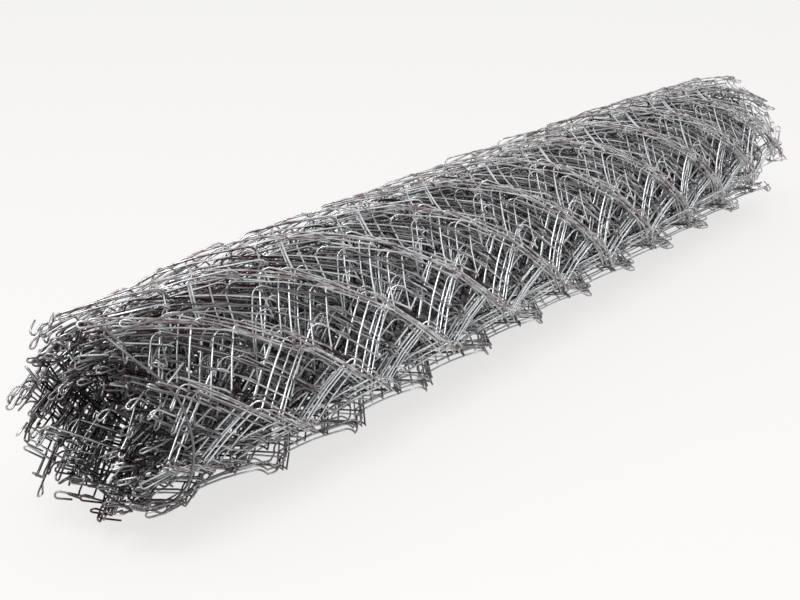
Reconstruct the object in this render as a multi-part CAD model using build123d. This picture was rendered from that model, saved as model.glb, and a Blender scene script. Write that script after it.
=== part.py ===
# A roll of chain link fence fabric lying on its side, bound with one tie wire.
# The roll runs along X, Z is up, and the picket next to the loose end lies flat on the floor.
# Each picket is one bent wire, hooked along its whole length into the picket before it.
# The fabric is pulled askew, so each outer leg climbs further along the roll than an inner leg.
from build123d import *
import math
import os

os.makedirs("parts", exist_ok=True)

# The wire and the diamond mesh
wire = 1.2
pitch = 80.0
cell_width = 32.4
outer_leg_share = 0.62
picket_gap = 5.0
hook_clearance = 0.25
shortest_end = 10.0

# The roll
roll_length = 925.0
first_bend_in = 30.0
outer_radius = 70.0
core_radius = 27.0
turn_spacing = 11.0

# The tie wire
tie_wire = 1.4
tie_clearance = 0.2
tie_pitches_in = 0

# Sizes that follow from the ones above
leg_plane = picket_gap / 2
bar_reach = wire * math.sqrt(2) / 2
outer_climb = outer_leg_share * pitch
inner_climb = pitch - outer_climb
leg_spread = (2 * bar_reach + hook_clearance) / math.sin(math.atan2(outer_climb, cell_width))


def hook_overlap(half_turn):
    """How far two hooked pickets reach past one another where the fabric turns by twice this angle."""
    return (leg_spread + picket_gap * math.sin(half_turn)) / math.cos(half_turn)


outer_half_turn = math.asin(cell_width / (2 * outer_radius))
picket_width = cell_width + hook_overlap(outer_half_turn)


# Winding the fabric, seen along the roll
def spiral_radius(angle):
    """The distance of a row of hooks from the middle of the roll, after winding inward by this angle."""
    return outer_radius - turn_spacing * angle / (2 * math.pi)


def wind_fabric():
    """The angles of the rows of hooks, each one picket further on, until the open core is reached."""
    angles = [0.0]
    while spiral_radius(angles[-1]) > core_radius:
        here = angles[-1]
        step = cell_width / spiral_radius(here)
        for _ in range(6):
            chord = picket_width - hook_overlap(step / 2)
            step = 2 * math.asin(chord / (2 * spiral_radius(here + step / 2)))
        angles.append(here + step)
    return angles


angles = wind_fabric()
hooks = [Vector(0, -spiral_radius(angle), 0).rotate(Axis.Z, math.degrees(angle)) for angle in angles]
spans = [second - first for first, second in zip(hooks, hooks[1:])]
headings = [math.degrees(math.atan2(span.Y, span.X)) for span in spans]
middles = [(first + second) / 2 for first, second in zip(hooks, hooks[1:])]


# The roll lies on the outer bends at both edges of its second picket
def resting_bend(number, edge):
    """The outer bend on one edge of a picket, seen along the roll: -1 for its first edge, 1 for its second."""
    bend = Vector(edge * (picket_width / 2 + bar_reach), -leg_plane - bar_reach, 0)
    return middles[number] + bend.rotate(Axis.Z, headings[number])


resting = resting_bend(2, -1) - resting_bend(0, 1)
level = -math.degrees(math.atan2(resting.Y, resting.X))
hooks = [hook.rotate(Axis.Z, level) for hook in hooks]
middles = [middle.rotate(Axis.Z, level) for middle in middles]
headings = [heading + level for heading in headings]


# One picket, lying on its back: outer legs underneath, inner legs on top
def picket_bends(first_bend):
    """Where the wire turns: its place along the roll, and -1 or 1 for the edge it turns at."""
    bends = []
    along = first_bend - 2 * pitch
    while along < roll_length + pitch:
        bends.append((along, -1))
        bends.append((along + outer_climb, 1))
        along += pitch
    return bends


def picket_wire(first_bend):
    """The middle line of one picket, its last legs cut off at the ends of the roll."""
    corners = []
    for along, side in picket_bends(first_bend):
        arriving = Vector(along, side * picket_width / 2, -side * leg_plane)
        leaving = Vector(along, side * picket_width / 2, side * leg_plane)
        corners.append((arriving, leaving))
    inside = []
    for number, (arriving, leaving) in enumerate(corners):
        if shortest_end <= arriving.X <= roll_length - shortest_end:
            inside.append(number)
    first = inside[0]
    last = inside[-1]
    into_first = (corners[first - 1][1] - corners[first][0]).normalized()
    out_of_last = (corners[last + 1][0] - corners[last][1]).normalized()
    points = [corners[first][0] - into_first * (corners[first][0].X / into_first.X)]
    for number in inside:
        points.extend(corners[number])
    points.append(corners[last][1] + out_of_last * ((roll_length - corners[last][1].X) / out_of_last.X))
    return Polyline(*points)


def make_picket(first_bend):
    """Sweep the bar along the picket's line, mitred at every bend."""
    line = picket_wire(first_bend)
    start = Plane(origin=line @ 0, x_dir=(0, 0, 1), z_dir=line % 0)
    return sweep(start * Rectangle(wire, wire), path=line, transition=Transition.RIGHT)


pieces = {}
for number, (middle, heading) in enumerate(zip(middles, headings)):
    first_bend = (first_bend_in + number * outer_climb) % pitch
    place = Location((0, middle.X, middle.Y), (heading, 0, 0))
    pieces[f"picket_{number + 1:02d}"] = place * make_picket(first_bend)

# The tie wire goes around the outer turn, and through the picket that lies on the floor.
# It meets that picket midway along an outer leg, where the pickets beside it have inner legs.
tie_place = first_bend_in + 1.5 * outer_climb + (tie_pitches_in - 1) * pitch
half_tie = tie_wire / 2
tie_lift = leg_plane + bar_reach + tie_clearance + half_tie
wrapped = [number for number in range(3, len(hooks) - 1) if angles[number + 1] < 2 * math.pi]
tie_corners = [(hooks[1].X, hooks[1].Y), (hooks[2].X, hooks[2].Y)]
for number in wrapped + [0]:
    before = math.radians(headings[max(number - 1, 0)])
    after = math.radians(headings[number])
    facing = (before + after - math.pi) / 2
    lift = tie_lift / math.cos((after - before) / 2)
    tie_corners.append((hooks[number].X + lift * math.cos(facing), hooks[number].Y + lift * math.sin(facing)))
tie_loop = make_face(Polyline(*tie_corners, close=True))
tie_outside = offset(tie_loop, half_tie, kind=Kind.INTERSECTION)
tie_inside = offset(tie_loop, -half_tie, kind=Kind.INTERSECTION)
across_roll = Plane(origin=(tie_place, 0, 0), x_dir=(0, 1, 0), z_dir=(1, 0, 0))
pieces["tie_wire"] = extrude(across_roll * (tie_outside - tie_inside), amount=half_tie, both=True)

# The origin is on the floor, under the middle of the roll
boxes = [piece.bounding_box() for piece in pieces.values()]
low = Vector(min(box.min.X for box in boxes), min(box.min.Y for box in boxes), min(box.min.Z for box in boxes))
high = Vector(max(box.max.X for box in boxes), max(box.max.Y for box in boxes), max(box.max.Z for box in boxes))
onto_floor = Location((-(low.X + high.X) / 2, -(low.Y + high.Y) / 2, -low.Z))

for name, piece in pieces.items():
    export_step(onto_floor * piece, f"parts/{name}.step")
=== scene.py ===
"""A rolled-up length of chain link fence fabric, lying on its side on a pale floor."""

import logging
import math
from dataclasses import dataclass, field
from enum import Enum

import bpy
import numpy as np
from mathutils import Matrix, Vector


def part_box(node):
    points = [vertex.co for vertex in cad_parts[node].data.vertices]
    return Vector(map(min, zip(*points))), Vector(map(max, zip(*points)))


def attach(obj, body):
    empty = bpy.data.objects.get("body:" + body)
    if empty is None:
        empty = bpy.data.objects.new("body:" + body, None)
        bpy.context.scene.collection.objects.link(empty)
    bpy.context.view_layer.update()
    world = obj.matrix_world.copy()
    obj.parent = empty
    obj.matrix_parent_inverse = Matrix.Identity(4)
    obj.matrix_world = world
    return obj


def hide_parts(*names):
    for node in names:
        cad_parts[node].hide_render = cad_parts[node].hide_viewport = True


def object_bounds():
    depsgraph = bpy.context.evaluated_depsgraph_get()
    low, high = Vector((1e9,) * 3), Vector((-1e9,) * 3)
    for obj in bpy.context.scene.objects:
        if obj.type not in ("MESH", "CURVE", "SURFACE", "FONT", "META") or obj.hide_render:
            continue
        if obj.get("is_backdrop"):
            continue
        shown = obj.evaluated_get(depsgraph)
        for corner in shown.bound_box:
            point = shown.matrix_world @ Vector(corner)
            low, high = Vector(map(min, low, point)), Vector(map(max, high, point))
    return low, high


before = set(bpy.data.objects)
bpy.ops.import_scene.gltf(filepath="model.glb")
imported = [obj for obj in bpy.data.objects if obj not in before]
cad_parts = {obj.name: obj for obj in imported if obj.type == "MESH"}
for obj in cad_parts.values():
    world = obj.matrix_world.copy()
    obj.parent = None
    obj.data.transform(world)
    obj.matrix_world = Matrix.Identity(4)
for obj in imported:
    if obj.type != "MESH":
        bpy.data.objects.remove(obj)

log = logging.getLogger("roll")

MM = 0.001
IMAGE_WIDTH = 800
IMAGE_HEIGHT = 600
SENSOR_WIDTH = 36.0


def linear(hex_colour: str) -> tuple[float, float, float, float]:
    """Turn an sRGB hex colour into linear red, green, blue and alpha.

    Args:
        hex_colour: six hex digits, such as "8a8c8e".

    Returns:
        The linear colour with an alpha of one.
    """
    parts = [int(hex_colour[i : i + 2], 16) / 255 for i in (0, 2, 4)]
    made = [c / 12.92 if c <= 0.04045 else ((c + 0.055) / 1.055) ** 2.4 for c in parts]
    return (made[0], made[1], made[2], 1.0)


def add_node(
    tree: bpy.types.NodeTree,
    kind: str,
    settings: dict | None = None,
    inputs: dict | None = None,
    links: dict | None = None,
) -> bpy.types.Node:
    """Add one shader node with its settings, input values and links.

    Args:
        tree: the material's node tree.
        kind: the node's type name.
        settings: attributes set on the node.
        inputs: values by input name or number.
        links: output sockets by the input name or number that they feed.

    Returns:
        The new node.
    """
    node = tree.nodes.new(kind)
    for name, value in (settings or {}).items():
        setattr(node, name, value)
    for name, value in (inputs or {}).items():
        node.inputs[name].default_value = value
    for name, socket in (links or {}).items():
        tree.links.new(socket, node.inputs[name])
    return node


def seen_or_mirrored(tree: bpy.types.NodeTree) -> bpy.types.NodeSocket:
    """Tell what the camera sees, and what the metal mirrors, from the light on the roll.

    Args:
        tree: the node tree of the floor or the world.

    Returns:
        A socket that is one for the camera's rays and for glossy rays, and nought for the rest.
    """
    rays = add_node(tree, "ShaderNodeLightPath")
    either = add_node(
        tree,
        "ShaderNodeMath",
        {"operation": "MAXIMUM"},
        links={0: rays.outputs["Is Camera Ray"], 1: rays.outputs["Is Glossy Ray"]},
    )
    return either.outputs[0]


class Winding(Enum):
    """How finely a wire is drawn, by where it lies in the roll: sides, then steps."""

    OUTER = (8, 6, 4, 6)
    MIDDLE = (6, 5, 2, 5)
    INNER = (5, 4, 2, 4)

    @property
    def sides(self) -> int:
        """The number of flats around the wire."""
        return self.value[0]

    @property
    def bend_steps(self) -> int:
        """The number of steps around one bend."""
        return self.value[1]

    @property
    def leg_steps(self) -> int:
        """The number of steps along one leg."""
        return self.value[2]

    @property
    def hook_steps(self) -> int:
        """The number of steps around the hook that ends a wire."""
        return self.value[3]


@dataclass(frozen=True)
class DrawnSteelWire:
    """Bright drawn low-carbon steel wire, dry and uncoated.

    It gives a cool grey metal, brighter on some wires than on others, partly at random and partly
    as painted shade, which also darkens the tied end, with faint brown oxide at the bends. Each
    pattern's scale is its number of features to the metre: handling marks of about 22 mm, grain
    of 5.6 mm, rust specks spaced by 9 mm and pits of 0.6 mm.
    """

    name: str = "bright_drawn_steel_wire"
    steel: str = "dfe3e6"
    shade: str = "0e1117"
    oxide: str = "71524c"
    rust: str = "7a5138"
    roughness: tuple[float, float] = (0.22, 0.4)
    mark_scale: float = 45.0
    grain_scale: float = 180.0
    speck_scale: float = 110.0
    pit_scale: float = 1800.0
    pit_depth: float = 0.1 * MM
    # painted shade: the tied end is darkened to this share of its tone, fully up to the first place
    # along the roll and fading out by the second
    painted_shade_full_until: float = -0.45
    painted_shade_fade_end: float = -0.2
    painted_shade_share: float = 0.68

    def build(self) -> bpy.types.Material:
        """Make the material.

        Returns:
            The finished material.
        """
        material = bpy.data.materials.new(self.name)
        material.use_nodes = True
        tree = material.node_tree
        shader = tree.nodes["Principled BSDF"]
        where = add_node(tree, "ShaderNodeTexCoord").outputs["Object"]
        grain = add_node(
            tree,
            "ShaderNodeTexNoise",
            inputs={"Scale": self.grain_scale, "Detail": 2.0},
            links={"Vector": where},
        )
        browned = self.brown(tree, grain.outputs["Fac"], self.grey(tree, where))
        # a few specks of orange rust, a millimetre or two across
        speck = add_node(
            tree,
            "ShaderNodeTexNoise",
            inputs={"Scale": self.speck_scale, "Detail": 1.0},
            links={"Vector": where},
        )
        rusty = add_node(
            tree,
            "ShaderNodeMapRange",
            inputs={"From Min": 0.75, "From Max": 0.79, "To Max": 0.7},
            links={"Value": speck.outputs["Fac"]},
        )
        coat = add_node(
            tree,
            "ShaderNodeMix",
            {"data_type": "RGBA"},
            {7: linear(self.rust)},
            {0: rusty.outputs[0], 6: browned},
        )
        bare = add_node(
            tree,
            "ShaderNodeMapRange",
            inputs={"To Min": 0.95, "To Max": 0.2},
            links={"Value": rusty.outputs[0]},
        )
        smooth, dull = self.roughness
        rough = add_node(
            tree,
            "ShaderNodeMapRange",
            inputs={"From Min": 0.3, "From Max": 0.7, "To Min": smooth, "To Max": dull},
            links={"Value": grain.outputs["Fac"]},
        )
        pits = add_node(
            tree,
            "ShaderNodeTexNoise",
            inputs={"Scale": self.pit_scale, "Detail": 1.0},
            links={"Vector": where},
        )
        bump = add_node(
            tree,
            "ShaderNodeBump",
            inputs={"Strength": 0.12, "Distance": self.pit_depth},
            links={"Height": pits.outputs["Fac"]},
        )
        tree.links.new(coat.outputs[2], shader.inputs["Base Color"])
        tree.links.new(bare.outputs[0], shader.inputs["Metallic"])
        tree.links.new(rough.outputs[0], shader.inputs["Roughness"])
        tree.links.new(bump.outputs["Normal"], shader.inputs["Normal"])
        return material

    def grey(self, tree: bpy.types.NodeTree, where: bpy.types.NodeSocket) -> bpy.types.NodeSocket:
        """The grey of the steel: each wire's own tone, which carries painted shade, times the
        handling marks over it.

        The tied end is darker, a painted shade that fades out over a quarter of a metre.

        Args:
            tree: the material's node tree.
            where: the Object coordinates.

        Returns:
            The colour.
        """
        marks = add_node(
            tree,
            "ShaderNodeTexNoise",
            inputs={"Scale": self.mark_scale, "Detail": 3.0},
            links={"Vector": where},
        )
        own = add_node(tree, "ShaderNodeAttribute", {"attribute_name": "tone"})
        marked = add_node(
            tree,
            "ShaderNodeMath",
            {"operation": "MULTIPLY"},
            links={0: own.outputs["Fac"], 1: marks.outputs["Fac"]},
        )
        axes = add_node(tree, "ShaderNodeSeparateXYZ", links={0: where})
        # painted shade: the tied end of the roll is darkened, fading out along the roll
        tied_end_shade = add_node(
            tree,
            "ShaderNodeMapRange",
            inputs={
                "From Min": self.painted_shade_full_until,
                "From Max": self.painted_shade_fade_end,
                "To Min": self.painted_shade_share,
            },
            links={"Value": axes.outputs["X"]},
        )
        light = add_node(
            tree,
            "ShaderNodeMath",
            {"operation": "MULTIPLY"},
            links={0: marked.outputs[0], 1: tied_end_shade.outputs[0]},
        )
        lifted = add_node(
            tree,
            "ShaderNodeMapRange",
            inputs={"From Min": 0.04, "From Max": 0.39},
            links={"Value": light.outputs[0]},
        )
        tone = add_node(
            tree,
            "ShaderNodeMix",
            {"data_type": "RGBA"},
            {6: linear(self.shade), 7: linear(self.steel)},
            {0: lifted.outputs[0]},
        )
        return tone.outputs[2]

    def brown(
        self,
        tree: bpy.types.NodeTree,
        grain: bpy.types.NodeSocket,
        steel: bpy.types.NodeSocket,
    ) -> bpy.types.NodeSocket:
        """Brown oxide over the steel: most where the wire was bent, and broken up by the grain.

        Args:
            tree: the material's node tree.
            grain: the noise that breaks the oxide up.
            steel: the colour under it.

        Returns:
            The colour.
        """
        bend = add_node(tree, "ShaderNodeAttribute", {"attribute_name": "bend"})
        patch = add_node(
            tree,
            "ShaderNodeMapRange",
            inputs={"From Min": 0.3, "From Max": 0.62, "To Max": 0.9},
            links={"Value": grain},
        )
        least = add_node(
            tree, "ShaderNodeMath", {"operation": "ADD"}, {1: 0.08}, {0: bend.outputs["Fac"]}
        )
        amount = add_node(
            tree,
            "ShaderNodeMath",
            {"operation": "MULTIPLY"},
            links={0: least.outputs[0], 1: patch.outputs[0]},
        )
        browned = add_node(
            tree,
            "ShaderNodeMix",
            {"data_type": "RGBA"},
            {7: linear(self.oxide)},
            {0: amount.outputs[0], 6: steel},
        )
        return browned.outputs[2]


@dataclass(frozen=True)
class AnnealedSteelWire(DrawnSteelWire):
    """Annealed black steel wire, soft enough to tie with: darker, duller and more even."""

    name: str = "annealed_black_steel_wire"
    steel: str = "8b8b8c"
    shade: str = "55555a"
    roughness: tuple[float, float] = (0.34, 0.5)


@dataclass(frozen=True)
class BackdropPaper:
    """White backdrop paper: matt, and a little warm."""

    name: str = "matt_white_paper"
    lit: str = "c4c3c1"
    seen: str = "fdfcfb"
    seen_share: float = 0.74
    roughness: float = 0.9

    def build(self) -> bpy.types.Material:
        """Make the material, lighter to the camera and in the metal, with the roll's shadow kept.

        Returns:
            The finished material.
        """
        material = bpy.data.materials.new(self.name)
        material.use_nodes = True
        tree = material.node_tree
        shader = tree.nodes["Principled BSDF"]
        shader.inputs["Base Color"].default_value = linear(self.lit)
        shader.inputs["Roughness"].default_value = self.roughness
        glow = add_node(
            tree, "ShaderNodeEmission", inputs={"Color": linear(self.seen), "Strength": 1.0}
        )
        share = add_node(
            tree,
            "ShaderNodeMath",
            {"operation": "MULTIPLY"},
            {1: self.seen_share},
            {0: seen_or_mirrored(tree)},
        )
        mixed = add_node(
            tree,
            "ShaderNodeMixShader",
            links={0: share.outputs[0], 1: shader.outputs[0], 2: glow.outputs[0]},
        )
        tree.links.new(mixed.outputs[0], tree.nodes["Material Output"].inputs["Surface"])
        return material


@dataclass
class RollShape:
    """The sizes of the roll, in metres, and where its pickets lie."""

    wire: float = 1.2 * MM
    pitch: float = 80.0 * MM
    cell_width: float = 32.4 * MM
    outer_leg_share: float = 0.62
    picket_gap: float = 5.0 * MM
    hook_clearance: float = 0.25 * MM
    outer_radius: float = 70.0 * MM
    turn_spacing: float = 11.0 * MM
    bend_climb: float = 8.0 * MM
    leg_bow: float = 1.2 * MM
    leg_brown: float = 0.85
    length: float = 925.0 * MM
    first_bend_in: float = 30.0 * MM
    solver_passes: int = 6
    picket_count: int = field(
        default_factory=lambda: sum(name.startswith("picket_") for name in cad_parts)
    )

    @property
    def bar_reach(self) -> float:
        """How far a bar of the frame reaches past its middle line at a bend."""
        return self.wire * math.sqrt(2) / 2

    @property
    def picket_width(self) -> float:
        """The width of one picket, with the reach of its hooks."""
        return self.cell_width + self.overlap(math.asin(self.cell_width / (2 * self.outer_radius)))

    def phase(self, index: float) -> float:
        """How far a picket's left-hand bends lie from the near end, within one pitch."""
        return (self.first_bend_in + index * self.outer_leg_share * self.pitch) % self.pitch

    def overlap(self, half_turn: float) -> float:
        """How far two hooked pickets reach past one another.

        Args:
            half_turn: half of the angle by which the fabric turns there.

        Returns:
            The reach, in metres.
        """
        slope = math.atan2(self.outer_leg_share * self.pitch, self.cell_width)
        spread = (2 * self.bar_reach + self.hook_clearance) / math.sin(slope)
        return (spread + self.picket_gap * math.sin(half_turn)) / math.cos(half_turn)

    def radius(self, angle: float) -> float:
        """The distance of a hook from the middle of the roll, after winding in by this angle."""
        return self.outer_radius - self.turn_spacing * angle / (2 * math.pi)

    def hook_angles(self) -> list[float]:
        """Wind the fabric up: each row of hooks lies one picket's chord further around the spiral.

        The chord and the radius depend on the step itself, which a few passes settle.

        Returns:
            The angles of the rows of hooks, from the outer end inward.
        """
        angles = [0.0]
        for _ in range(self.picket_count):
            here = angles[-1]
            step = self.cell_width / self.radius(here)
            for _ in range(self.solver_passes):
                chord = self.picket_width - self.overlap(step / 2)
                step = 2 * math.asin(chord / (2 * self.radius(here + step / 2)))
            angles.append(here + step)
        return angles

    def places(self) -> tuple[np.ndarray, np.ndarray]:
        """Where each picket's middle line lies across the roll, and the way it faces.

        The spiral is turned until the outer bends on both sides of its second picket are level,
        and then moved so that this picket lies where the frame has it.

        Returns:
            The middles, as rows of across and up, and the headings in radians.
        """
        angles = np.array(self.hook_angles())
        radii = np.array([self.radius(angle) for angle in angles])
        hooks = np.stack([radii * np.sin(angles), -radii * np.cos(angles)], 1)
        steps = np.diff(hooks, axis=0)
        headings = np.arctan2(steps[:, 1], steps[:, 0])
        middles = (hooks[1:] + hooks[:-1]) / 2
        down = -self.picket_gap / 2 - self.bar_reach
        feet = []
        for number, edge in ((0, 1.0), (2, -1.0)):
            across = edge * (self.picket_width / 2 + self.bar_reach)
            cosine, sine = math.cos(headings[number]), math.sin(headings[number])
            foot = np.array([across * cosine - down * sine, across * sine + down * cosine])
            feet.append(middles[number] + foot)
        level = -math.atan2(feet[1][1] - feet[0][1], feet[1][0] - feet[0][0])
        turn = np.array([[math.cos(level), -math.sin(level)], [math.sin(level), math.cos(level)]])
        middles = middles @ turn.T
        low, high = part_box("picket_02")
        middles += (np.array(low[1:]) + np.array(high[1:])) / 2 - middles[1]
        return middles, headings + level


@dataclass(frozen=True)
class EndHook:
    """The hook that ends a wire, which turns back on itself and stops after a short tail."""

    lean: tuple[float, float] = (-0.9, 0.9)
    radius_mm: tuple[float, float] = (1.5, 2.3)
    tail_mm: tuple[float, float] = (7.0, 16.0)
    closing: float = 0.12
    brown: float = 0.7

    def add(
        self,
        points: np.ndarray,
        bends: np.ndarray,
        steps: int,
        random: np.random.Generator,
        last: bool,
    ) -> tuple[np.ndarray, np.ndarray]:
        """Lengthen one end of a wire by a half circle and a straight tail that closes a little.

        Args:
            points: the wire's path.
            bends: how brown each point is.
            steps: the number of steps around the half circle.
            random: the source of its size and the way it leans.
            last: whether it is the far end.

        Returns:
            The longer path and its bend values.
        """
        path = points[::-1] if last else points
        ahead = path[0] - path[1]
        ahead /= np.linalg.norm(ahead)
        lean = random.uniform(*self.lean)
        upright = np.array([0.0, 0.0, -1.0 if path[0, 2] > 0 else 1.0])
        inside = upright * math.cos(lean) + np.array([0.0, 1.0, 0.0]) * math.sin(lean)
        inside -= ahead * inside.dot(ahead)
        inside /= np.linalg.norm(inside)
        radius = random.uniform(*self.radius_mm) * MM
        tail = random.uniform(*self.tail_mm) * MM
        turn = np.linspace(0, math.pi, steps + 1)[1:, None]
        loop = path[0] + radius * (np.sin(turn) * ahead + (1 - np.cos(turn)) * inside)
        finish = loop[-1] - tail * ahead - self.closing * tail * inside
        added = np.concatenate([loop, finish[None, :]])[::-1]
        path = np.concatenate([added, path])
        values = np.concatenate([np.full(len(added), self.brown), bends[::-1] if last else bends])
        return (path[::-1], values[::-1]) if last else (path, values)


def picket_path(
    shape: RollShape,
    fineness: Winding,
    phase: float,
    stops: tuple[float, float],
    random: np.random.Generator,
) -> tuple[np.ndarray, np.ndarray]:
    """The middle line of one picket lying on its back.

    A flattened coil: the wire runs around a stadium, two slightly bowed legs joined by half
    circles as wide as the picket is deep. Along the roll it climbs by its share of the pitch on
    each leg and by the bend's own climb on each half circle. Near the ends of the roll the wire
    turns back in a narrow hook.

    Args:
        shape: the roll's sizes.
        fineness: how many steps its bends, legs and hooks get.
        phase: how far the first left-hand bend lies from the near end.
        stops: how far the wire stops short of each end of the roll.
        random: the source of the hooks' small differences.

    Returns:
        The points, as rows of along, across and inward, and how brown each is, 0 to 1: the bends
        and the outer legs, which were rubbed dry, more than the rest.
    """
    depth = shape.picket_gap / 2
    straight = shape.picket_width - 2 * depth
    around = math.pi * depth
    half_lap = straight + around
    # half laps are counted from the near end, with a few spare ones past both ends
    first_half = -4
    last_half = 2 * (int(math.ceil(shape.length / shape.pitch)) + 3)
    leg = np.linspace(0, straight, fineness.leg_steps + 1)[:-1]
    bend = straight + np.linspace(0, around, fineness.bend_steps + 1)[:-1]
    once = np.concatenate([leg, bend])
    run = (once[None, :] + half_lap * np.arange(first_half, last_half)[:, None]).ravel()
    # a hair more, so that no half lap's first point is rounded into the one before
    halves = np.floor(run / half_lap + 1e-9)
    part = run - halves * half_lap
    returning = np.mod(halves, 2) > 0.5
    outer_climb = shape.outer_leg_share * shape.pitch
    climb = np.where(returning, shape.pitch - outer_climb, outer_climb)
    start = np.floor(halves / 2) * shape.pitch + np.where(returning, outer_climb, 0.0)
    on_leg = np.clip(part / straight, 0, 1)
    in_bend = np.clip((part - straight) / around, 0, 1)
    leg_run = on_leg * (climb - shape.bend_climb)
    along = phase + start + shape.bend_climb / 2 + leg_run + in_bend * shape.bend_climb
    turned = in_bend * math.pi
    across = np.where(part < straight, part - straight / 2, straight / 2 + depth * np.sin(turned))
    inward = -depth * np.cos(turned) - shape.leg_bow * np.sin(on_leg * math.pi)
    sign = np.where(returning, -1.0, 1.0)
    points = np.stack([along, across * sign, inward * sign], 1)
    keep = (along > stops[0]) & (along < shape.length - stops[1])
    rubbed = np.where(returning | (part > straight), 0.0, shape.leg_brown)
    points, brown = points[keep], np.maximum(np.sin(turned), rubbed)[keep]
    for last in (False, True):
        points, brown = EndHook().add(points, brown, fineness.hook_steps, random, last)
    return points - np.array([shape.length / 2, 0, 0]), brown


def tube(points: np.ndarray, radius: float, sides: int) -> tuple[np.ndarray, np.ndarray]:
    """A round wire along a path, closed at both ends.

    Each point gets a ring of vertices, square to the path there: cosine and sine of the angle
    around it, times one direction square to both the path and the roll's axis, and one square to
    that. Rings are joined by walls, and each end ring to a point in its middle.

    Args:
        points: the path, one row per point.
        radius: the wire's radius.
        sides: the number of flats around it.

    Returns:
        The vertices, ring after ring and then the two end centres, and the triangles.
    """
    count = len(points)
    ahead = np.gradient(points, axis=0)
    ahead /= np.linalg.norm(ahead, axis=1, keepdims=True)
    beside = np.cross(np.array([1.0, 0.0, 0.0]), ahead)
    beside /= np.linalg.norm(beside, axis=1, keepdims=True)
    over = np.cross(ahead, beside)
    turn = np.linspace(0, 2 * math.pi, sides, endpoint=False)[None, :, None]
    ring = np.cos(turn) * beside[:, None, :] + np.sin(turn) * over[:, None, :]
    skin = points[:, None, :] + radius * ring
    vertices = np.concatenate([skin.reshape(-1, 3), points[[0, -1]]])
    ring_of = np.arange(count - 1)[:, None] * sides
    here = np.arange(sides)[None, :]
    after = (here + 1) % sides
    a, b = ring_of + here, ring_of + after
    c, d = b + sides, a + sides
    walls = [np.stack(corners, -1).reshape(-1, 3) for corners in ([a, b, c], [a, c, d])]
    start = np.stack([np.full(sides, count * sides), after[0], here[0]], 1)
    shift = (count - 1) * sides
    end = np.stack([np.full(sides, count * sides + 1), here[0] + shift, after[0] + shift], 1)
    return vertices, np.concatenate([*walls, start, end])


@dataclass(frozen=True)
class WireSurface:
    """One wire's surface, with how brown each vertex is and the wire's tone, both 0 to 1."""

    vertices: np.ndarray
    faces: np.ndarray
    bend: np.ndarray
    tone: float


def mesh_object(
    name: str, wires: list[WireSurface], material: bpy.types.Material
) -> bpy.types.Object:
    """Join wires into one mesh object.

    Args:
        name: the object's name.
        wires: the surfaces to join.
        material: their finish.

    Returns:
        The object, at the origin.
    """
    offsets = np.cumsum([0] + [len(wire.vertices) for wire in wires[:-1]])
    vertices = np.concatenate([wire.vertices for wire in wires])
    faces = np.concatenate([wire.faces + offset for wire, offset in zip(wires, offsets)])
    marks = {
        "bend": np.concatenate([wire.bend for wire in wires]),
        "tone": np.concatenate([np.full(len(wire.vertices), wire.tone) for wire in wires]),
    }
    mesh = bpy.data.meshes.new(name)
    mesh.vertices.add(len(vertices))
    mesh.vertices.foreach_set("co", vertices.astype(np.float32).ravel())
    mesh.loops.add(faces.size)
    mesh.loops.foreach_set("vertex_index", faces.astype(np.int32).ravel())
    mesh.polygons.add(len(faces))
    mesh.polygons.foreach_set("loop_start", np.arange(0, faces.size, 3, dtype=np.int32))
    mesh.polygons.foreach_set("use_smooth", np.ones(len(faces), bool))
    mesh.update()
    for mark, values in marks.items():
        attribute = mesh.attributes.new(mark, "FLOAT", "POINT")
        attribute.data.foreach_set("value", values.astype(np.float32))
    mesh.materials.append(material)
    piece = bpy.data.objects.new(name, mesh)
    bpy.context.scene.collection.objects.link(piece)
    return piece


@dataclass(frozen=True)
class Settling:
    """How the roll gives way: drawn in where it is tied, and sagging at the top of its far end.

    Each amount is a share of a point's distance from the middle of the roll.
    """

    tie_in: float = 34 * MM
    tie_fade: float = 80 * MM
    squeeze: float = 0.11
    lip: tuple[float, float] = (-0.61, -0.79)
    lip_squeeze: float = 0.09
    sag_from: float = 150 * MM
    sag_over: float = 310 * MM
    sag: float = 0.11

    def apply(self, points: np.ndarray, middle: np.ndarray, near_end: float) -> np.ndarray:
        """Move points towards the middle of the roll.

        The squeeze falls off along the roll as a bell curve from the tie, and is strongest on the
        side of the lower lip. The sag grows as the square of the way to the far end, and with the
        height over the middle.

        Args:
            points: points of the roll, as rows of along, across and up.
            middle: the middle of the roll, across and up.
            near_end: where the roll begins, along.

        Returns:
            The moved points.
        """
        arm = points[:, 1:] - middle
        reach = np.linalg.norm(arm, axis=1)
        past_tie = np.maximum(points[:, 0] - near_end - self.tie_in, 0)
        near = np.exp(-np.square(past_tie / self.tie_fade))
        far = np.clip((points[:, 0] - self.sag_from) / self.sag_over, 0, 1) ** 2
        side = np.clip(arm @ np.array(self.lip) / np.maximum(reach, MM), 0, 1)
        above = np.clip(arm[:, 1] / np.maximum(reach, MM), 0, 1)
        share = near * (self.squeeze + self.lip_squeeze * side**2) + self.sag * far * above
        moved = points.copy()
        moved[:, 1:] -= arm * share[:, None]
        return moved


@dataclass(frozen=True)
class Strand:
    """One wire of the roll, and how it differs from the picket of the frame that it follows.

    Attributes:
        index: which picket that is, from nought.
        fineness: how finely the wire is drawn.
        tone: how bright it is, 0 to 1, partly at random and partly painted shade.
        loose: how far its wobbles reach.
        inward: how far it lies inside that picket.
        slide: how far around it is moved, in cells, keeping in line with the outer legs.
        astray: how far along the roll it is moved out of that line.
    """

    index: int
    fineness: Winding
    tone: float
    loose: float
    inward: float = 0.0
    slide: float = 0.0
    astray: float = 0.0


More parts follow.
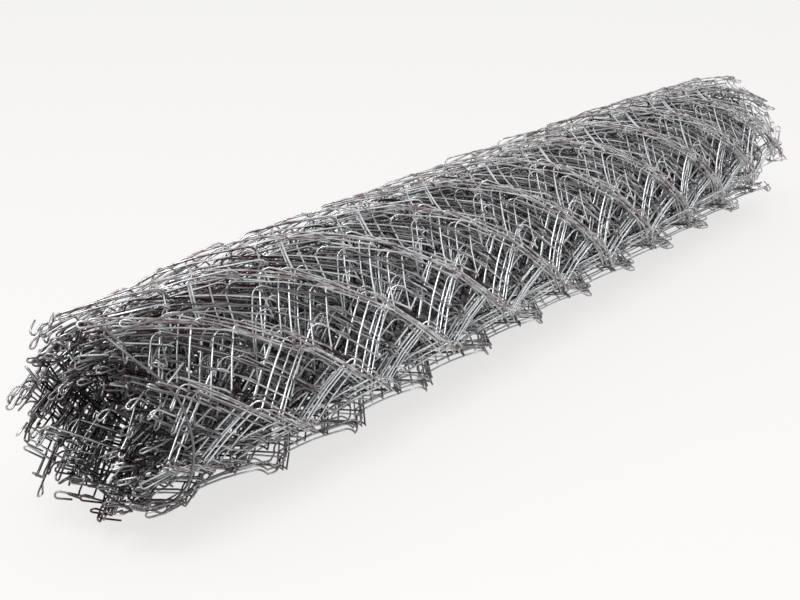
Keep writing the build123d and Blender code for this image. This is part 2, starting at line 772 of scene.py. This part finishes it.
@dataclass
class Fabric:
    """The rolled fabric: the pickets of the frame, and the tighter windings between them.

    The layers are those that share the depth of one turn of the frame, its own picket included.
    The first pickets lie on the floor, in the shade, and the first one ends the fabric.
    """

    shape: RollShape
    finish: bpy.types.Material
    seed: int = 7
    fine_pickets: int = 26
    outer_turn: int = 13
    floor_pickets: int = 3
    loose_end_layers: int = 4
    outer_layers: int = 8
    inner_layers: int = 12
    in_step_layers: int = 4
    lit_layers: int = 5
    wires_per_piece: int = 50
    turn_depth: float = 10.0 * MM
    near_stop_mm: tuple[float, float] = (19.0, 38.0)
    far_stop_mm: tuple[float, float] = (2.5, 16.0)
    inner_far_stop: float = 3.5
    loose_end_slide: tuple[float, float] = (0.02, 0.2)
    slide: tuple[float, float] = (-0.5, 0.5)
    drift_mm: tuple[float, float] = (-8.0, 6.0)
    picket_tone: tuple[float, float] = (0.85, 1.0)
    floor_shade: float = 0.65
    # tones of the lit outer layers, and the painted shade of the layers inside and under them
    lit_layer_tone: tuple[float, float] = (0.7, 1.0)
    painted_shade_tone: tuple[float, float] = (0.02, 0.62)
    brown_depth: float = 3.0 * MM
    inner_brown: float = 0.4
    picket_wobble: float = 0.45 * MM
    winding_wobble: float = 1.0 * MM
    wobble_lengths: tuple[float, ...] = (0.9, 0.41, 0.23, 0.12)
    wobble_shares: tuple[float, ...] = (0.9, 0.6, 0.4, 0.2)
    middles: np.ndarray = field(init=False)
    headings: np.ndarray = field(init=False)
    middle: np.ndarray = field(init=False)

    def __post_init__(self) -> None:
        """Find where the pickets lie, and the middle of the roll, across and up."""
        self.middles, self.headings = self.shape.places()
        low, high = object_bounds()
        self.middle = np.array([(low[1] + high[1]) / 2, (low[2] + high[2]) / 2])

    def wobble(self, along: np.ndarray, random: np.random.Generator) -> np.ndarray:
        """How a wire strays from its line: a sum of sine waves along the roll.

        Args:
            along: where each point lies along the roll.
            random: the source of the waves' phases.

        Returns:
            Two rows, across and inward, for a wobble of one metre.
        """
        lengths = np.array(self.wobble_lengths)[None, :, None]
        shares = np.array(self.wobble_shares)[None, :, None]
        phases = random.uniform(0, 2 * math.pi, (2, len(self.wobble_lengths)))[:, :, None]
        waves = np.sin(along[None, None, :] / lengths * 2 * math.pi + phases)
        return (waves * shares).sum(1)

    def wire(self, strand: Strand, random: np.random.Generator) -> WireSurface:
        """One wire in its place in the roll.

        Its path is turned to its picket's heading, moved to its picket's middle and settled. The
        inner turns are pushed further in at the far end, and are less brown.

        Args:
            strand: which wire it is.
            random: the source of its ends and wobbles.

        Returns:
            The wire's surface.
        """
        shape = self.shape
        inner = strand.index > self.outer_turn
        near_stop = random.uniform(*self.near_stop_mm) * MM
        far_stop = random.uniform(*self.far_stop_mm) * MM * (self.inner_far_stop if inner else 1.0)
        phase = shape.phase(strand.index + strand.slide) + strand.astray
        path, bend = picket_path(shape, strand.fineness, phase, (near_stop, far_stop), random)
        if inner or strand.inward > self.brown_depth:
            bend = bend * self.inner_brown
        wobble = self.wobble(path[:, 0], random) * strand.loose
        across = path[:, 1] + wobble[0] + strand.slide * shape.cell_width
        deep = path[:, 2] + wobble[1] + strand.inward
        middle = self.middles[strand.index]
        cosine = math.cos(self.headings[strand.index])
        sine = math.sin(self.headings[strand.index])
        y = middle[0] + across * cosine - deep * sine
        z = middle[1] + across * sine + deep * cosine
        points = np.stack([path[:, 0], y, z], 1)
        points = Settling().apply(points, self.middle, -shape.length / 2)
        points[:, 2] = np.maximum(points[:, 2], shape.wire / 2)
        sides = strand.fineness.sides
        vertices, faces = tube(points, shape.wire / 2, sides)
        values = np.concatenate([np.repeat(bend, sides), bend[[0, -1]]])
        return WireSurface(vertices, faces, values, strand.tone)

    def pickets(self, random: np.random.Generator) -> list[bpy.types.Object]:
        """Make the pickets of the frame, each a piece of its own.

        Args:
            random: the source of their small differences.

        Returns:
            The pieces.
        """
        made = []
        for index in range(self.shape.picket_count):
            fineness = Winding.OUTER if index < self.fine_pickets else Winding.MIDDLE
            shade = self.floor_shade if index < self.floor_pickets else 1.0
            tone = random.uniform(*self.picket_tone) * shade
            wire = self.wire(Strand(index, fineness, tone, self.picket_wobble), random)
            piece = mesh_object(f"wire_picket_{index + 1:02d}", [wire], self.finish)
            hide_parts(f"picket_{index + 1:02d}")
            made.append(piece)
        return made

    def layers(self, index: int) -> int:
        """How many layers share a picket's depth: few at the loose end, most in the inner turns.

        Args:
            index: which picket of the frame it is.

        Returns:
            The number of layers, the picket's own included.
        """
        if index == 0:
            return self.loose_end_layers
        return self.outer_layers if index < self.outer_turn else self.inner_layers

    def winding_strand(self, index: int, layer: int, random: np.random.Generator) -> Strand:
        """One of the wires wound inside a picket of the frame.

        The first layers keep nearly in step with the picket and make the ridges; the others lie
        anywhere along its pitch. The first layers of the outermost turn are bright; what lies
        inside them, under them on the floor or in the inner turns is dimmed as painted shade.

        Args:
            index: which picket of the frame it follows.
            layer: its place in the turn's depth, from one.
            random: the source of its place and tone.

        Returns:
            The wire to draw.
        """
        slide = random.uniform(*(self.loose_end_slide if index == 0 else self.slide))
        if layer <= self.in_step_layers:
            astray = random.uniform(*self.drift_mm) * MM
        else:
            astray = random.uniform(0, self.shape.pitch)
        # painted shade: only the first layers of the outer turn, off the floor, keep a lit tone;
        # the rest are darkened
        bright = layer <= self.lit_layers and self.floor_pickets <= index < self.outer_turn
        tone = random.uniform(*(self.lit_layer_tone if bright else self.painted_shade_tone))
        inward = layer * self.turn_depth / self.layers(index)
        return Strand(index, Winding.INNER, tone, self.winding_wobble, inward, slide, astray)

    def windings(self, random: np.random.Generator) -> list[bpy.types.Object]:
        """Make the windings between the pickets of the frame, many wires to a piece.

        Args:
            random: the source of their places, tones and small differences.

        Returns:
            The pieces.
        """
        wires = []
        for index in range(self.shape.picket_count):
            for layer in range(1, self.layers(index)):
                wires.append(self.wire(self.winding_strand(index, layer, random), random))
        made = []
        for start in range(0, len(wires), self.wires_per_piece):
            name = f"inner_winding_{start // self.wires_per_piece + 1}"
            made.append(mesh_object(name, wires[start : start + self.wires_per_piece], self.finish))
        return made

    def build(self) -> list[bpy.types.Object]:
        """Make every picket and winding.

        Returns:
            The pieces.
        """
        random = np.random.default_rng(self.seed)
        made = self.pickets(random) + self.windings(random)
        for piece in made:
            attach(piece, "root")
        return made


@dataclass
class TieWire:
    """One turn of soft round wire around the near end, its tail laid back along the roll.

    Its places along the roll and its distances from the middle, both in millimetres, are given
    at a row of bearings: 90 degrees is the top, 180 the front and 270 the floor.
    """

    fabric: Fabric
    finish: bpy.types.Material
    wire: float = 1.4 * MM
    sides: int = 10
    tone: float = 0.6
    steps: int = 96
    rounding: int = 7
    bearings: tuple[float, ...] = (110, 128, 139, 148, 174, 203, 228, 250, 300, 400, 479)
    places: tuple[float, ...] = (-440, -439, -433, -425, -420, -415, -411, -414, -416, -418, -435)
    reaches: tuple[float, ...] = (58.5, 58, 57.5, 57, 56, 54.5, 54, 56, 50, 50, 57)
    tail_steps: int = 15
    tail_length: float = 75 * MM
    tail_turn: float = 0.25
    tail_rise: float = 7.0 * MM

    def along_turn(self, given: tuple[float, ...], around: np.ndarray) -> np.ndarray:
        """Lay a row of given values along the turn: straight between them, then rounded.

        A running mean does the rounding, with the first and last values held past the ends.

        Args:
            given: the values at the bearings, in millimetres.
            around: the angles at which they are wanted.

        Returns:
            The values at those angles, in metres.
        """
        rough = np.interp(np.degrees(around), self.bearings, given) * MM
        held = np.pad(rough, self.rounding // 2, mode="edge")
        return np.convolve(held, np.full(self.rounding, 1 / self.rounding), mode="valid")

    def build(self) -> bpy.types.Object:
        """Make the tie wire.

        It starts at the top of the roll and passes down over the front, where it is seen, then
        sinks between the windings underneath and behind. Its tail crosses the top of the roll,
        rising over it as a quarter of a sine wave.

        Returns:
            The piece.
        """
        middle = self.fabric.middle
        around = np.radians(np.linspace(self.bearings[0], self.bearings[-1], self.steps))
        place = self.along_turn(self.places, around)
        radius = self.along_turn(self.reaches, around)
        y = middle[0] + radius * np.cos(around)
        z = middle[1] + radius * np.sin(around)
        loop = np.stack([place, y, z], 1)
        away = np.linspace(0, 1, self.tail_steps + 1)[1:]
        bearing = around[0] + self.tail_turn * away
        rise = radius[0] + self.tail_rise * np.sin(away * math.pi / 2)
        tail_y = middle[0] + rise * np.cos(bearing)
        tail_z = middle[1] + rise * np.sin(bearing)
        tail = np.stack([place[0] + self.tail_length * away, tail_y, tail_z], 1)
        vertices, faces = tube(np.concatenate([tail[::-1], loop]), self.wire / 2, self.sides)
        surface = WireSurface(vertices, faces, np.zeros(len(vertices)), self.tone)
        piece = mesh_object("round_tie_wire", [surface], self.finish)
        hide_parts("tie_wire")
        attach(piece, "root")
        return piece


@dataclass
class Studio:
    """The pale floor, the lights and the camera."""

    focal_pixels: float = 1407.0
    vanish: tuple[float, float] = (1377.0, -168.0)
    eye: tuple[float, float, float] = (-0.905, -0.5012, 0.3604)
    clip_start: float = 0.01
    floor_size: float = 40
    key_place: tuple[float, float, float] = (-1.3, -0.3, 2.0)
    key_watts: float = 36.0
    key_size: float = 1.0
    sky_side: tuple[float, float, float] = (-0.42, 0.1, 0.9)

    def build(self) -> None:
        """Set up the floor, world, lamp and camera."""
        bpy.ops.mesh.primitive_plane_add(size=self.floor_size, location=(0, 0, 0))
        floor = bpy.context.object
        floor.name = "floor"
        floor.data.materials.append(BackdropPaper().build())
        floor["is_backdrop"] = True
        self.room()
        self.lamp("key", self.key_place, self.key_watts, self.key_size)
        self.camera()
        bpy.context.scene.view_settings.view_transform = "Standard"

    def room(self) -> None:
        """Make the world: plain white to the camera and in the metal, and brighter on one side.

        The light on the roll grows smoothly from dim to bright with the cosine of the angle to
        the side that the daylight comes from.
        """
        world = bpy.data.worlds.new("room")
        bpy.context.scene.world = world
        world.use_nodes = True
        tree = world.node_tree
        background = tree.nodes["Background"]
        background.inputs["Color"].default_value = (1, 1, 1, 1)
        facing = add_node(
            tree,
            "ShaderNodeVectorMath",
            {"operation": "DOT_PRODUCT"},
            {1: self.sky_side},
            {0: add_node(tree, "ShaderNodeTexCoord").outputs["Generated"]},
        )
        soft = add_node(
            tree,
            "ShaderNodeMapRange",
            {"interpolation_type": "SMOOTHSTEP"},
            {"From Min": -0.5, "From Max": 0.75, "To Min": 0.4, "To Max": 1.2},
            {"Value": facing.outputs["Value"]},
        )
        strength = add_node(
            tree,
            "ShaderNodeMix",
            {"data_type": "FLOAT"},
            {3: 1.0},
            {0: seen_or_mirrored(tree), 2: soft.outputs[0]},
        )
        tree.links.new(strength.outputs[0], background.inputs["Strength"])

    def lamp(
        self, name: str, place: tuple[float, float, float], watts: float, size: float
    ) -> None:
        """Add a soft square lamp that faces the roll.

        Args:
            name: the lamp's name.
            place: where it hangs.
            watts: its power.
            size: the length of its side.
        """
        data = bpy.data.lights.new(name, "AREA")
        data.energy = watts
        data.size = size
        lamp = bpy.data.objects.new(name, data)
        lamp.location = place
        towards = -np.array(place) / np.linalg.norm(place)
        tilt = math.acos(-towards[2])
        yaw = math.atan2(towards[1], towards[0]) - math.pi / 2
        lamp.rotation_euler = (tilt, 0, yaw)
        bpy.context.scene.collection.objects.link(lamp)

    def camera(self) -> None:
        """Place the camera, whose lens and turn follow from where lines along the roll meet."""
        data = bpy.data.cameras.new("camera")
        data.sensor_width = SENSOR_WIDTH
        data.lens = self.focal_pixels * SENSOR_WIDTH / IMAGE_WIDTH
        data.clip_start = self.clip_start
        across = self.vanish[0] - IMAGE_WIDTH / 2
        up = IMAGE_HEIGHT / 2 - self.vanish[1]
        tilt = math.atan2(up, self.focal_pixels)
        yaw = math.atan2(across, math.hypot(self.focal_pixels, up))
        eye = bpy.data.objects.new("camera", data)
        eye.location = self.eye
        eye.rotation_euler = (math.pi / 2 - tilt, 0, yaw - math.pi / 2)
        bpy.context.scene.collection.objects.link(eye)
        bpy.context.scene.camera = eye


def main() -> None:
    """Build the roll and its studio, and report each piece."""
    logging.basicConfig(level=logging.INFO, format="%(message)s")
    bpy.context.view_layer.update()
    fabric = Fabric(RollShape(), DrawnSteelWire().build())
    pieces = fabric.build()
    pieces.append(TieWire(fabric, AnnealedSteelWire().build()).build())
    Studio().build()
    for piece in pieces:
        log.info("%s: %d triangles", piece.name, len(piece.data.polygons))


if __name__ == "__main__":
    main()
